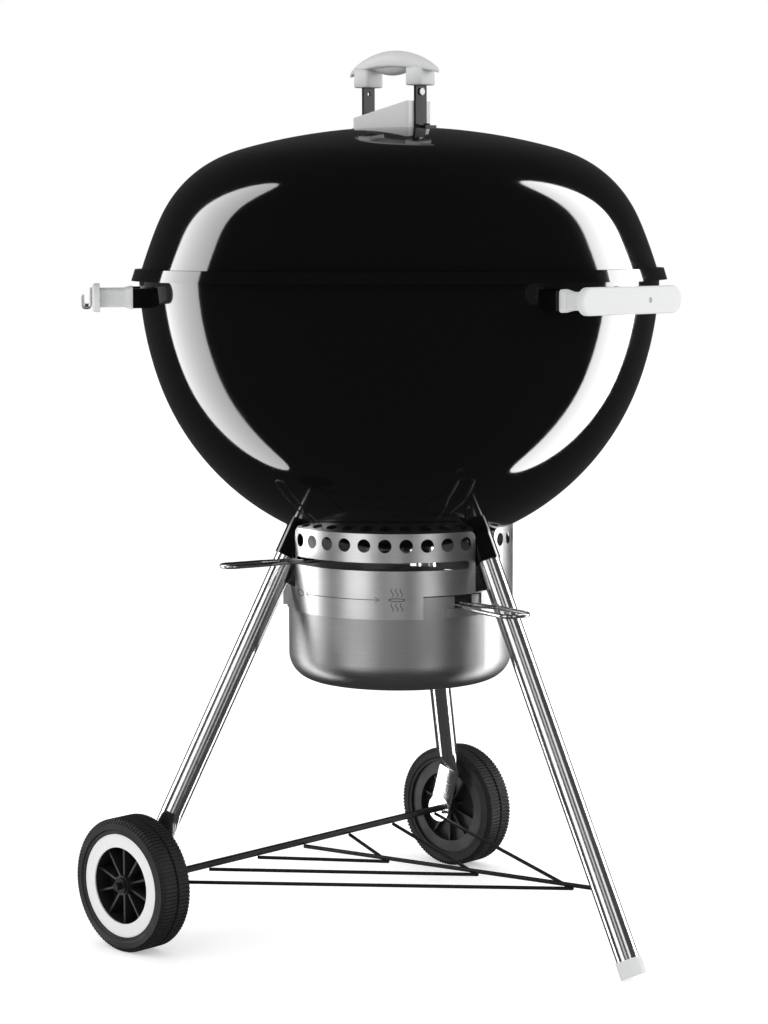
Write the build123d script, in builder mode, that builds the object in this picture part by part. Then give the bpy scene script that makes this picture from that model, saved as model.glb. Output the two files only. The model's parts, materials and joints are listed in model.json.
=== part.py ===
from build123d import *
from math import acos, asin, atan2, cos, degrees, radians, sin, sqrt
import os

os.makedirs("parts", exist_ok=True)

# Kettle charcoal grill. Millimetres, +Z up, origin on the kettle's axis at the floor.
# +X points to the plain foot leg; the axle runs along Y behind the kettle's axis.

# --- driving dimensions -------------------------------------------------------------------
rim_height = 754.6          # top of the bowl's rim above the floor
bowl_radius = 290.5         # outside of the bowl at its rim
sheet = 1.2                 # enamelled steel of bowl and lid
bowl_side_arc = 378.0       # radius of the upright part of the bowl's wall
bowl_side_angle = 71.1      # where that arc takes over from the round bottom
rim_lip = 3.0               # how far the rolled rim stands out
rim_lip_height = 4.0

lid_inset = 3.0             # the dome starts this far inside the bowl's outside
crown_arc = 651.6
crown_angle = 16.2
shoulder_angle = 67.7
lid_side_arc = 707.0
lid_side_angle = 72.2
skirt_top_stand = 5.5       # outside of the skirt beyond the bowl, at its top ...
skirt_stand = 9.5           # ... and at its lower edge
skirt_drop = 12.6

weld_gap = 0.1              # between pieces joined on one body
slide_gap = 0.3             # between curved faces of pieces that move apart
running_gap = 0.05          # radial clearance of a shaft in its hole

leg_radius = 12.7
leg_wall = 1.2
leg_lean = 0.477            # outward run per unit of drop
leg_reach = 149.3           # distance of a leg's centre line from the axis ...
leg_reach_drop = 39.2       # ... this far below the bowl
leg_angles = {"foot_leg": 0.0, "rear_wheel_leg": 120.0, "front_wheel_leg": -120.0}
socket_wall = 1.5
socket_end_drop = 4.2       # centre of a socket's open end below the bowl's lowest point
cap_radius = 14.3
cap_length = 19.0
cap_flat = 1.0              # height of the flat worn into the cap's lowest edge

wheel_radius = 75.0
wheel_width = 42.0
wheel_clear = 8.0           # from a leg's flat end to the wheel
axle_radius = 4.0
axle_trail = 15.5           # how far the axle sits behind the top of the legs' flat ends
axle_overhang = 5.0
tongue_width = 33.0
tongue_thickness = 4.5
tongue_top_height = 128.0
squash_height = 152.0
tyre_depth = 16.5
hub_wall = 2.5
hub_ribs = 10
ring_inner_radius = 43.0
ring_thickness = 1.6

rack_wire = 2.0
rack_spine = 2.4
rack_end_height = 92.0      # where the rack's spine meets the foot leg
rack_steps = 3
rack_first_tip = -20.0
rack_last_tip = 28.0        # from the last tip to the spine's end
rack_edge = 8.0             # from the outer wires to the legs

collar_radius = 128.4
collar_wall = 1.0
collar_drop = 64.2          # lower edge of the collar below the bowl
collar_hole_radius = 7.4
collar_hole_rise = 16.8
collar_hole_pitch = 10.45
collar_holes = 10
collar_corner = 9.0
notch_width = 31.4
notch_drop = 37.2
slot_height = 9.0
slot_from = -111.6
slot_to = -11.0
window_from = -36.0
window_to = -3.0
window_drop = 38.7

bucket_clear = 0.8
bucket_wall = 1.0
bucket_depth = 107.0
bucket_top_drop = 40.2
bucket_corner = 30.0
catch_angle = -15.0
catch_width = 12.0
catch_stand = 6.2
catch_height = 21.0
catch_top_drop = 41.7
latch_span = 19.0
bucket_handle_drop = 50.2
bucket_handle_length = 108.4
bucket_handle_wire = 2.5
bucket_window_width = 23.0

lever_drop = 6.2
lever_rest = -106.9
lever_length = 98.6         # beyond the collar
lever_wire = 2.5
shaft_radius = 4.0
shaft_drop = 20.2
vent_inner = 44.0
vent_outer = 104.0
vent_width = 26.0
blade_reach = 150.0
blade_width = 36.0
blade_thickness = 1.2

charcoal_grate_radius = 222.0
charcoal_grate_clear = 5.0
cooking_grate_clear = 13.0
cooking_grate_drop = 52.6
grate_rod = 2.0
grate_frame = 3.0
grate_bar = 2.6
grate_pitch = 14.0
charcoal_pitch = 22.0
flap_hinge_rod = 10         # the outermost fixed rod, counted from the middle, is the hinge pin
flap_gap = 1.5

handle_drop = 29.6
handle_length = 160.0
handle_stand = 52.5         # outer face of a side handle's grip beyond the bowl
handle_angles = {"right": -2.5, "left": -131.0}
grip_height = 29.0
grip_thickness = 8.0
arm_spread = 58.0
arm_width = 12.0
arm_height = 19.0
arm_foot_height = 24.0
bracket_width = 27.0
bracket_height = 21.0
bracket_stand = 8.5

lid_handle_x = -7.0
lid_handle_rise = 85.6      # top of the lid's handle above the crown
lid_tip_rise = 57.6
lid_boss_rise = 46.0
lid_grip_length = 134.0
lid_grip_width = 34.0
lid_post_spread = 39.5
lid_boss_length = 25.0
lid_boss_width = 29.0
strap_width = 18.0
strap_thickness = 3.0
shield_sheet = 1.2
shield_half_width = 20.0
shield_high_rise = 29.1
shield_low_rise = 11.4

damper_angle = 90.0
damper_offset = 146.0
damper_radius = 34.0
damper_hole_radius = 8.0
damper_hole_offset = 19.0
damper_holes = 4

# --- outlines and places that follow from them ---------------------------------------------
side_sin = sin(radians(bowl_side_angle))
side_cos = cos(radians(bowl_side_angle))
bowl_round = (bowl_radius - bowl_side_arc * (1 - side_sin)) / side_sin
bowl_bottom = rim_height - bowl_round * (1 - side_cos) - bowl_side_arc * side_cos
bowl_centre = bowl_bottom + bowl_round

lid_radius = bowl_radius - lid_inset
lid_foot_height = rim_height + sheet
shoulder_arc = (
    lid_radius
    - crown_arc * sin(radians(crown_angle))
    - lid_side_arc * (sin(radians(lid_side_angle)) - sin(radians(shoulder_angle)))
) / (sin(radians(shoulder_angle)) - sin(radians(crown_angle)))
lid_top = (
    lid_foot_height
    + crown_arc * (1 - cos(radians(crown_angle)))
    + shoulder_arc * (cos(radians(crown_angle)) - cos(radians(shoulder_angle)))
    + lid_side_arc * (cos(radians(shoulder_angle)) - cos(radians(lid_side_angle)))
)
crown_centre = lid_top - crown_arc
skirt_top_radius = bowl_radius + skirt_top_stand
skirt_radius = bowl_radius + skirt_stand

leg_reach_height = bowl_bottom - leg_reach_drop
socket_end_height = bowl_bottom - socket_end_drop
axle_height = wheel_radius
tyre_inner_radius = wheel_radius - tyre_depth

collar_bottom = bowl_bottom - collar_drop
collar_hole_height = bowl_bottom + collar_hole_rise
notch_bottom = bowl_bottom - notch_drop
window_top = bowl_bottom - window_drop
bucket_radius = collar_radius - collar_wall - bucket_clear
bucket_top = bowl_bottom - bucket_top_drop
bucket_bottom = bucket_top - bucket_depth
catch_top = bowl_bottom - catch_top_drop
catch_bottom = catch_top - catch_height
bucket_handle_height = bowl_bottom - bucket_handle_drop
bucket_handle_reach = bucket_radius + bucket_handle_length
lever_height = bowl_bottom - lever_drop
lever_reach = collar_radius + lever_length
shaft_bottom = bowl_bottom - shaft_drop

cooking_grate_radius = bowl_radius - sheet - cooking_grate_clear - 2 * grate_frame
cooking_grate_height = rim_height - cooking_grate_drop
charcoal_ring_height = bowl_centre - sqrt(
    (bowl_round - sheet) ** 2 - (charcoal_grate_radius + charcoal_grate_clear) ** 2
)
charcoal_grate_height = charcoal_ring_height + 2 * grate_frame + grate_rod

handle_height = rim_height - handle_drop
handle_face = bowl_radius + handle_stand
bracket_end = bowl_radius + bracket_stand
lid_handle_top = lid_top + lid_handle_rise
tip_height = lid_top + lid_tip_rise
lid_boss_bottom = lid_top + lid_boss_rise
shield_high = lid_top + shield_high_rise
shield_low = lid_top + shield_low_rise


def around(angle, radius=1.0, height=0.0):
    return Vector(radius * cos(radians(angle)), radius * sin(radians(angle)), height)


def bowl_skin_height(radius):
    return bowl_centre - sqrt(bowl_round**2 - radius**2)


def bowl_curve(inset):
    # the wall from the lowest point up to the rim, moved inwards by the inset
    r_low = bowl_round - inset
    r_side = bowl_side_arc - inset
    start = (0, bowl_bottom + inset)
    mid = (r_low * sin(radians(bowl_side_angle / 2)), bowl_centre - r_low * cos(radians(bowl_side_angle / 2)))
    join = (r_low * side_sin, bowl_centre - r_low * side_cos)
    half = radians((bowl_side_angle + 90) / 2)
    side_x = bowl_radius - bowl_side_arc
    upper = (side_x + r_side * sin(half), rim_height - r_side * cos(half))
    end = (bowl_radius - inset, rim_height)
    return start, mid, join, upper, end


def lid_curve(inset):
    # the dome from its top down to the flange, moved inwards by the inset
    points = [(0, lid_top - inset)]
    centre_x, centre_z, previous = 0.0, crown_centre, 0.0
    arcs = ((crown_arc, crown_angle), (shoulder_arc, shoulder_angle), (lid_side_arc, lid_side_angle))
    for arc, angle in arcs:
        half = radians((previous + angle) / 2)
        if points[1:]:
            turn = radians(previous)
            centre_x += (last_arc - arc) * sin(turn)
            centre_z += (last_arc - arc) * cos(turn)
        reach = arc - inset
        points.append((centre_x + reach * sin(half), centre_z + reach * cos(half)))
        points.append((centre_x + reach * sin(radians(angle)), centre_z + reach * cos(radians(angle))))
        previous, last_arc = angle, arc
    return points


def upright(angle, radius=0.0, height=0.0):
    # a plane facing out from the axis: local x runs around the kettle, local y runs up
    return Plane(origin=around(angle, radius, height), x_dir=around(angle + 90), z_dir=around(angle))


def radial(angle):
    # a plane through the axis: local x runs outwards, local y runs up
    return Plane(origin=(0, 0, 0), x_dir=around(angle), z_dir=around(angle - 90))


def bowl_solid(inset):
    start, mid, join, upper, end = bowl_curve(inset)
    with BuildPart(mode=Mode.PRIVATE) as solid:
        with BuildSketch(Plane.XZ):
            with BuildLine():
                ThreePointArc(start, mid, join)
                ThreePointArc(join, upper, end)
                Polyline(end, (end[0], rim_height + 1), (0, rim_height + 1), start)
            make_face()
        revolve(axis=Axis.Z)
    return solid.part


bowl_space = bowl_solid(-weld_gap)
bowl_inside = bowl_solid(sheet + weld_gap)

# --- bowl ----------------------------------------------------------------------------------
with BuildPart() as bowl:
    with BuildSketch(Plane.XZ):
        outer = bowl_curve(0)
        inner = bowl_curve(sheet)
        with BuildLine():
            ThreePointArc(*outer[0:3])
            ThreePointArc(*outer[2:5])
            Line(outer[4], inner[4])
            ThreePointArc(*inner[2:5])
            ThreePointArc(*inner[0:3])
            Line(inner[0], outer[0])
        make_face()
    revolve(axis=Axis.Z)
    with BuildSketch(Plane.XZ):
        with Locations((bowl_radius - sheet / 2, rim_height)):
            Rectangle(rim_lip + sheet / 2, rim_lip_height, align=(Align.MIN, Align.MAX))
    revolve(axis=Axis.Z)
    with BuildSketch(Plane.XY.offset(bowl_bottom - 1)):
        Circle(shaft_radius + running_gap)
        with PolarLocations((vent_inner + vent_outer) / 2, 3, start_angle=lever_rest):
            SlotOverall(vent_outer - vent_inner, vent_width)
    extrude(amount=bowl_skin_height(vent_outer + vent_width) - bowl_bottom + 2, mode=Mode.SUBTRACT)
bowl.part.label = "bowl"
export_step(bowl.part, "parts/bowl.step")

# --- grate supports ------------------------------------------------------------------------
tab_width = 22.0
tab_thickness = 2.5
tab_hold = 14.0
grate_bite = 1.0            # the rods are welded this deep into the frame under them
grate_depth = grate_rod + 2 * grate_frame - grate_bite
for name, grate_radius, height in (
    ("cooking_grate_supports", cooking_grate_radius, cooking_grate_height - grate_depth - slide_gap),
    ("charcoal_grate_supports", charcoal_grate_radius, charcoal_grate_height - grate_depth - slide_gap),
):
    with BuildPart() as supports:
        for step in range(4):
            with BuildSketch(upright(45 + 90 * step, grate_radius - tab_hold, height)):
                Rectangle(tab_width, tab_thickness, align=(Align.CENTER, Align.MAX))
                Rectangle(tab_thickness, tab_hold + tab_thickness, align=(Align.CENTER, Align.MAX))
            extrude(amount=bowl_radius - grate_radius + 2 * tab_hold)
        add(bowl_inside, mode=Mode.INTERSECT)
    supports.part.label = name
    export_step(supports.part, f"parts/{name}.step")

# --- leg sockets and legs ------------------------------------------------------------------
leg_tilt = atan2(leg_lean, 1.0)
leg_slant = sqrt(1 + leg_lean**2)


def leg_point(angle, height):
    return around(angle, leg_reach + leg_lean * (leg_reach_height - height), height)


def leg_plane(angle, height):
    # looks down the leg, local x points around the kettle
    down = around(angle, sin(leg_tilt), -cos(leg_tilt))
    return Plane(origin=leg_point(angle, height), x_dir=around(angle + 90), z_dir=down)


tongue_top_x = leg_point(leg_angles["rear_wheel_leg"], tongue_top_height).X
tongue_y = leg_point(leg_angles["rear_wheel_leg"], tongue_top_height).Y
axle_x = tongue_top_x - axle_trail
wheel_track = tongue_y + tongue_thickness / 2 + wheel_clear + wheel_width / 2
socket_top_height = bowl_skin_height(leg_reach) + socket_wall
leg_top_height = socket_end_height + 0.62 * (bowl_skin_height(collar_radius) - socket_end_height)
with BuildPart() as sockets:
    for angle in leg_angles.values():
        with BuildSketch(leg_plane(angle, socket_top_height)):
            Circle(leg_radius + running_gap + socket_wall)
            Circle(leg_radius + running_gap, mode=Mode.SUBTRACT)
        extrude(amount=(socket_top_height - socket_end_height) * leg_slant)
    add(bowl_space, mode=Mode.SUBTRACT)
sockets.part.label = "leg_sockets"
export_step(sockets.part, "parts/leg_sockets.step")

foot_length = (leg_top_height - leg_radius * sin(leg_tilt)) * leg_slant
with BuildPart() as foot_leg:
    with BuildSketch(leg_plane(0, leg_top_height)):
        Circle(leg_radius)
        Circle(leg_radius - leg_wall, mode=Mode.SUBTRACT)
    extrude(amount=foot_length - 3)
foot_leg.part.label = "foot_leg"
export_step(foot_leg.part, "parts/foot_leg.step")

cap_plane = leg_plane(0, cap_length * cos(leg_tilt) + cap_radius * sin(leg_tilt) - cap_flat)
with BuildPart() as foot_cap:
    with BuildSketch(cap_plane):
        Circle(cap_radius)
    extrude(amount=cap_length)
    add(foot_leg.part, mode=Mode.SUBTRACT)
    with BuildSketch(Plane.XY):
        with Locations(leg_point(0, 0)):
            Rectangle(6 * cap_radius, 6 * cap_radius)
    extrude(amount=-cap_radius, mode=Mode.SUBTRACT)
    with BuildSketch(cap_plane):
        Circle(leg_radius - leg_wall)
    extrude(amount=cap_length / 2, mode=Mode.SUBTRACT)
foot_cap.part.label = "foot_cap"
export_step(foot_cap.part, "parts/foot_cap.step")



def across(y):
    # an upright plane across the axle at this distance from its middle
    return Plane(origin=(axle_x, y, axle_height), x_dir=(1, 0, 0), z_dir=(0, 1, 0))


tongue_lean = (axle_x - tongue_top_x) / (tongue_top_height - axle_height)
for name in ("rear_wheel_leg", "front_wheel_leg"):
    angle = leg_angles[name]
    side = 1 if angle > 0 else -1
    tongue_down = Vector(tongue_lean, 0, -1).normalized()
    tongue_top = Plane(
        origin=(tongue_top_x, side * tongue_y, tongue_top_height), x_dir=(0, side, 0), z_dir=tongue_down
    )
    tongue_length = (Vector(axle_x, 0, axle_height) - Vector(tongue_top_x, 0, tongue_top_height)).length
    with BuildPart() as wheel_leg:
        with BuildSketch(leg_plane(angle, leg_top_height)):
            Circle(leg_radius)
        extrude(amount=(leg_top_height - squash_height) * leg_slant)
        with BuildSketch(leg_plane(angle, squash_height)):
            Circle(leg_radius)
        with BuildSketch(tongue_top):
            Ellipse(tongue_thickness / 2, tongue_width / 2)
        loft()
        with BuildSketch(tongue_top):
            Ellipse(tongue_thickness / 2, tongue_width / 2)
        extrude(amount=tongue_length)
        with BuildSketch(across(side * tongue_y)):
            Circle(tongue_width / 2)
        extrude(amount=tongue_thickness / 2, both=True)
        with BuildSketch(across(side * tongue_y)):
            Circle(axle_radius + running_gap)
        extrude(amount=tongue_width, both=True, mode=Mode.SUBTRACT)
        with BuildSketch(leg_plane(angle, leg_top_height)):
            Circle(leg_radius - leg_wall)
        extrude(amount=(leg_top_height - squash_height) * leg_slant, mode=Mode.SUBTRACT)
    wheel_leg.part.label = name
    export_step(wheel_leg.part, f"parts/{name}.step")

# --- axle and wheels -----------------------------------------------------------------------
axle_end = wheel_track + wheel_width / 2 + axle_overhang
with BuildPart() as axle:
    with BuildSketch(across(-axle_end)):
        Circle(axle_radius)
    extrude(amount=2 * axle_end)
axle.part.label = "axle"
export_step(axle.part, "parts/axle.step")

hub_width = wheel_width - 8.0
nut_thickness = 2.0
end_gap = 0.5
with BuildPart() as spacers:
    for side in (1, -1):
        low = tongue_y + tongue_thickness / 2 + weld_gap
        high = wheel_track - hub_width / 2 - end_gap
        with BuildSketch(across(side * (low + high) / 2)):
            Circle(axle_radius + 4)
            Circle(axle_radius + running_gap, mode=Mode.SUBTRACT)
        extrude(amount=(high - low) / 2, both=True)
spacers.part.label = "axle_spacers"
export_step(spacers.part, "parts/axle_spacers.step")

with BuildPart() as push_nuts:
    for side in (1, -1):
        with BuildSketch(across(side * (wheel_track + hub_width / 2 + end_gap + nut_thickness / 2))):
            Circle(axle_radius + 5)
            Circle(axle_radius + weld_gap, mode=Mode.SUBTRACT)
        extrude(amount=nut_thickness / 2, both=True)
push_nuts.part.label = "axle_push_nuts"
export_step(push_nuts.part, "parts/axle_push_nuts.step")

hub_radius = tyre_inner_radius - weld_gap
web_offset = 6.0
boss_radius = 11.0
for name, side in (("rear", 1), ("front", -1)):
    middle = side * wheel_track
    with BuildPart() as hub:
        with BuildSketch(across(middle)):
            Circle(hub_radius)
            Circle(hub_radius - hub_wall - 12, mode=Mode.SUBTRACT)
        extrude(amount=hub_width / 2, both=True)
        with BuildSketch(across(middle - side * web_offset)):
            Circle(hub_radius - hub_wall)
        extrude(amount=hub_wall / 2, both=True)
        with BuildSketch(across(middle)):
            Circle(boss_radius)
        extrude(amount=hub_width / 2, both=True)
        with BuildSketch(across(middle)):
            with PolarLocations((hub_radius + boss_radius) / 2 - 6, hub_ribs, start_angle=18):
                Rectangle(hub_radius - boss_radius - 8, hub_wall)
        extrude(amount=hub_width / 2 - 4, both=True)
        with BuildSketch(across(middle)):
            Circle(axle_radius + running_gap)
        extrude(amount=hub_width, both=True, mode=Mode.SUBTRACT)
    hub.part.label = f"{name}_wheel_hub"
    export_step(hub.part, f"parts/{name}_wheel_hub.step")

    with BuildPart() as tyre:
        with BuildSketch(Plane(origin=(axle_x, middle, axle_height), x_dir=(0, 1, 0), z_dir=(1, 0, 0))):
            with Locations((0, (wheel_radius + tyre_inner_radius) / 2)):
                Rectangle(wheel_width, wheel_radius - tyre_inner_radius)
            chamfer(vertices().group_by(Axis.Z)[-1], 4.0)
        revolve(axis=Axis((axle_x, middle, axle_height), (0, 1, 0)))
        with BuildSketch(across(middle)):
            Circle(wheel_radius + 1)
            Circle(wheel_radius - 1.5, mode=Mode.SUBTRACT)
        extrude(amount=1.5, both=True, mode=Mode.SUBTRACT)
    tyre.part.label = f"{name}_wheel_tyre"
    export_step(tyre.part, f"parts/{name}_wheel_tyre.step")

    with BuildPart() as ring:
        with BuildSketch(across(middle + side * (hub_width / 2 + weld_gap / 2))):
            Circle(hub_radius - 0.5)
            Circle(ring_inner_radius, mode=Mode.SUBTRACT)
        extrude(amount=side * ring_thickness)
    ring.part.label = f"{name}_wheel_ring"
    export_step(ring.part, f"parts/{name}_wheel_ring.step")

# --- wire rack under the kettle ------------------------------------------------------------
def wire(points, radius):
    # a straight wire between each pair of neighbouring points, with round joints
    with BuildPart(mode=Mode.PRIVATE) as run:
        for first, last in zip(points, points[1:]):
            along = Vector(*last) - Vector(*first)
            with BuildSketch(Plane(origin=first, z_dir=along)):
                Circle(radius)
            extrude(amount=along.length)
        for point in points[1:-1]:
            with Locations(point):
                Sphere(radius)
    return run.part


leg_clear = leg_radius * leg_slant + rack_spine * leg_lean + weld_gap
spine_start = (axle_x, 0, axle_height - axle_radius - rack_spine - weld_gap)
spine_end = (leg_point(0, rack_end_height).X - leg_clear, 0, rack_end_height)
spine_slope = (spine_end[2] - spine_start[2]) / (spine_end[0] - axle_x)
rack_spread = (tongue_y - rack_edge) / rack_steps
rack_tip_pitch = (spine_end[0] - rack_last_tip - rack_first_tip) / (rack_steps - 1)
foot_height = axle_height - axle_radius - rack_wire - weld_gap
with BuildPart() as rack:
    add(wire([spine_start, spine_end], rack_spine))
    for step in range(rack_steps):
        tip_x = rack_first_tip + rack_tip_pitch * step
        tip_z = spine_start[2] + spine_slope * (tip_x - axle_x) - rack_spine - rack_wire + 0.6
        spread = rack_spread * (step + 1)
        tip = (tip_x, 0, tip_z)
        add(wire([(axle_x, -spread, foot_height), tip, (axle_x, spread, foot_height)], rack_wire))
rack.part.label = "wire_rack"
export_step(rack.part, "parts/wire_rack.step")

# --- vent sweeper, its shaft and lever -----------------------------------------------------
blade_base = bowl_round - sheet - slide_gap
blade_arc = degrees(asin(blade_reach / blade_base))
with BuildPart() as sweeper:
    with BuildSketch(Plane.XZ):
        with BuildLine():
            for reach in (blade_base, blade_base - blade_thickness):
                ThreePointArc(
                    (0, bowl_centre - reach),
                    (reach * sin(radians(blade_arc / 2)), bowl_centre - reach * cos(radians(blade_arc / 2))),
                    (reach * sin(radians(blade_arc)), bowl_centre - reach * cos(radians(blade_arc))),
                )
            reach = blade_base - blade_thickness
            turn = radians(blade_arc)
            Line(
                (blade_base * sin(turn), bowl_centre - blade_base * cos(turn)),
                (reach * sin(turn), bowl_centre - reach * cos(turn)),
            )
            Line((0, bowl_centre - blade_base), (0, bowl_centre - reach))
        make_face()
    revolve(axis=Axis.Z)
    with BuildSketch(Plane.XY.offset(bowl_bottom)):
        Circle(26)
        with PolarLocations(blade_reach / 2 + 5, 3, start_angle=lever_rest):
            Rectangle(blade_reach, blade_width)
    extrude(amount=blade_reach, mode=Mode.INTERSECT)
    with BuildSketch(Plane.XY.offset(bowl_bottom)):
        Circle(shaft_radius + weld_gap)
    extrude(amount=10, mode=Mode.SUBTRACT)
sweeper.part.label = "vent_sweeper"
export_step(sweeper.part, "parts/vent_sweeper.step")

hub_seat = bowl_centre - blade_base + blade_thickness + 1.2
with BuildPart() as pivot_shaft:
    with BuildSketch(Plane.XY.offset(shaft_bottom)):
        Circle(shaft_radius)
    extrude(amount=hub_seat - shaft_bottom)
    with BuildSketch(Plane.XY.offset(hub_seat)):
        Circle(3 * shaft_radius)
    extrude(amount=4)
    fillet(edges().group_by(Axis.Z)[-1], 2)
    with BuildSketch(Plane.XZ):
        with Locations((0, shaft_bottom + 3)):
            Circle(1.1)
    extrude(amount=2 * shaft_radius, both=True, mode=Mode.SUBTRACT)
pivot_shaft.part.label = "sweeper_shaft"
export_step(pivot_shaft.part, "parts/sweeper_shaft.step")

lever_half = 7.0
lever_tip_half = 11.0
with BuildPart() as lever:
    with BuildSketch(Plane.XY.offset(lever_height)):
        Circle(2.6 * shaft_radius)
        Circle(shaft_radius + weld_gap, mode=Mode.SUBTRACT)
    extrude(amount=3.0, both=True)
    lever_path = Plane(origin=(0, 0, lever_height), x_dir=around(lever_rest), z_dir=(0, 0, 1))
    with BuildLine(lever_path) as loop:
        FilletPolyline(
            (shaft_radius + 3, lever_half),
            (lever_reach * 0.66, lever_half),
            (lever_reach * 0.76, lever_tip_half),
            (lever_reach - lever_wire, lever_tip_half),
            (lever_reach - lever_wire, -lever_tip_half),
            (lever_reach * 0.76, -lever_tip_half),
            (lever_reach * 0.66, -lever_half),
            (shaft_radius + 3, -lever_half),
            radius=lever_tip_half - 1,
        )
    with BuildSketch(Plane(origin=loop.line @ 0, z_dir=loop.line % 0)):
        Circle(lever_wire)
    sweep(path=loop.line)
lever.part.label = "vent_lever"
export_step(lever.part, "parts/vent_lever.step")

with BuildPart() as washer:
    with BuildSketch(Plane.XY.offset(lever_height - 3.0 - weld_gap)):
        Circle(2.2 * shaft_radius)
        Circle(shaft_radius + weld_gap, mode=Mode.SUBTRACT)
    extrude(amount=-1.5)
washer.part.label = "shaft_washer"
export_step(washer.part, "parts/shaft_washer.step")

with BuildPart() as cotter:
    with BuildSketch(Plane.XZ.offset(-2.2 * shaft_radius)):
        with Locations((0, shaft_bottom + 3)):
            Circle(1.0)
    extrude(amount=4.4 * shaft_radius)
    with Locations((0, 2.2 * shaft_radius + 2, shaft_bottom + 3)):
        Torus(3, 1, rotation=(0, 90, 0))
cotter.part.label = "shaft_cotter_pin"
export_step(cotter.part, "parts/shaft_cotter_pin.step")

# --- collar --------------------------------------------------------------------------------
collar_top = bowl_skin_height(collar_radius)
panel_middles = [60 + 120 * step for step in range(3)]
first_hole = -collar_hole_pitch * (collar_holes - 1) / 2
with BuildPart() as collar:
    with BuildSketch(Plane.XY.offset(collar_bottom)):
        Circle(collar_radius)
        Circle(collar_radius - collar_wall, mode=Mode.SUBTRACT)
    extrude(amount=collar_top - collar_bottom + 5)
    add(bowl_space, mode=Mode.SUBTRACT)
    hole_planes = [
        upright(middle + first_hole + collar_hole_pitch * step, 0, collar_hole_height)
        for middle in panel_middles
        for step in range(collar_holes)
    ]
    with BuildSketch(*hole_planes):
        Circle(collar_hole_radius)
    extrude(amount=collar_radius + 2, mode=Mode.SUBTRACT)
    notch_planes = [upright(angle, 0, collar_top) for angle in leg_angles.values()]
    with BuildSketch(*notch_planes):
        with Locations((0, 10)):
            Rectangle(notch_width, collar_top - notch_bottom + 10, align=(Align.CENTER, Align.MAX))
        with Locations((0, 10)):
            Rectangle(notch_width + 2 * collar_corner, collar_corner + 10, align=(Align.CENTER, Align.MAX))
        with Locations((notch_width / 2 + collar_corner, -collar_corner)):
            Circle(collar_corner, mode=Mode.SUBTRACT)
        with Locations((-notch_width / 2 - collar_corner, -collar_corner)):
            Circle(collar_corner, mode=Mode.SUBTRACT)
    extrude(amount=collar_radius + 2, mode=Mode.SUBTRACT)
    slot_ends = degrees(slot_height / 2 / collar_radius)
    with BuildSketch(radial(slot_from + slot_ends)):
        with Locations((collar_radius, lever_height)):
            Rectangle(4 * collar_wall, slot_height)
    revolve(axis=Axis.Z, revolution_arc=slot_to - slot_from - 2 * slot_ends, mode=Mode.SUBTRACT)
    slot_planes = [upright(end, 0, lever_height) for end in (slot_from + slot_ends, slot_to - slot_ends)]
    with BuildSketch(*slot_planes):
        Circle(slot_height / 2)
    extrude(amount=collar_radius + 2, mode=Mode.SUBTRACT)
    with BuildSketch(radial(window_from)):
        with Locations((collar_radius, collar_bottom - 1)):
            Rectangle(4 * collar_wall, window_top - collar_bottom + 1, align=(Align.CENTER, Align.MIN))
    revolve(axis=Axis.Z, revolution_arc=window_to - window_from, mode=Mode.SUBTRACT)
    catch_planes = [upright(catch_angle + turn, 0, collar_bottom) for turn in (-120, 120)]
    with BuildSketch(*catch_planes):
        with Locations((0, -1)):
            Rectangle(catch_width + 3, catch_top - collar_bottom + 3, align=(Align.CENTER, Align.MIN))
    extrude(amount=collar_radius + 2, mode=Mode.SUBTRACT)
collar.part.label = "vent_collar"
export_step(collar.part, "parts/vent_collar.step")

# --- ash bucket ----------------------------------------------------------------------------
with BuildPart() as bucket:
    with BuildSketch(Plane.XY.offset(bucket_bottom)):
        Circle(bucket_radius)
    extrude(amount=bucket_top - bucket_bottom)
    fillet(edges().group_by(Axis.Z)[0], bucket_corner)
    offset(amount=-bucket_wall, openings=faces().sort_by(Axis.Z)[-1])
    with BuildSketch(upright(catch_angle + 1, 0, bucket_top)):
        window_depth = bucket_top - bucket_handle_height + bucket_handle_wire + slide_gap
        Rectangle(bucket_window_width, 2 * window_depth)
    extrude(amount=bucket_radius + 2, mode=Mode.SUBTRACT)
bucket.part.label = "ash_bucket"
export_step(bucket.part, "parts/ash_bucket.step")

with BuildPart() as catches:
    with BuildSketch(radial(catch_angle - latch_span / 2)):
        with Locations((bucket_radius + weld_gap, catch_bottom)):
            Rectangle(catch_stand, bucket_handle_height - bucket_handle_wire - 0.3 - catch_bottom,
                      align=(Align.MIN, Align.MIN))
    revolve(axis=Axis.Z, revolution_arc=latch_span)
    inside = bucket_radius * 0.8
    with BuildSketch(*[upright(catch_angle + turn, inside, catch_bottom) for turn in (-120, 120)]):
        Rectangle(catch_width, catch_top - catch_bottom, align=(Align.CENTER, Align.MIN))
    extrude(amount=bucket_radius + catch_stand - inside)
    with BuildSketch(Plane.XY.offset(catch_bottom - 1)):
        Circle(bucket_radius + weld_gap)
    extrude(amount=catch_top - catch_bottom + 2, mode=Mode.SUBTRACT)
catches.part.label = "bucket_catches"
export_step(catches.part, "parts/bucket_catches.step")

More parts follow.
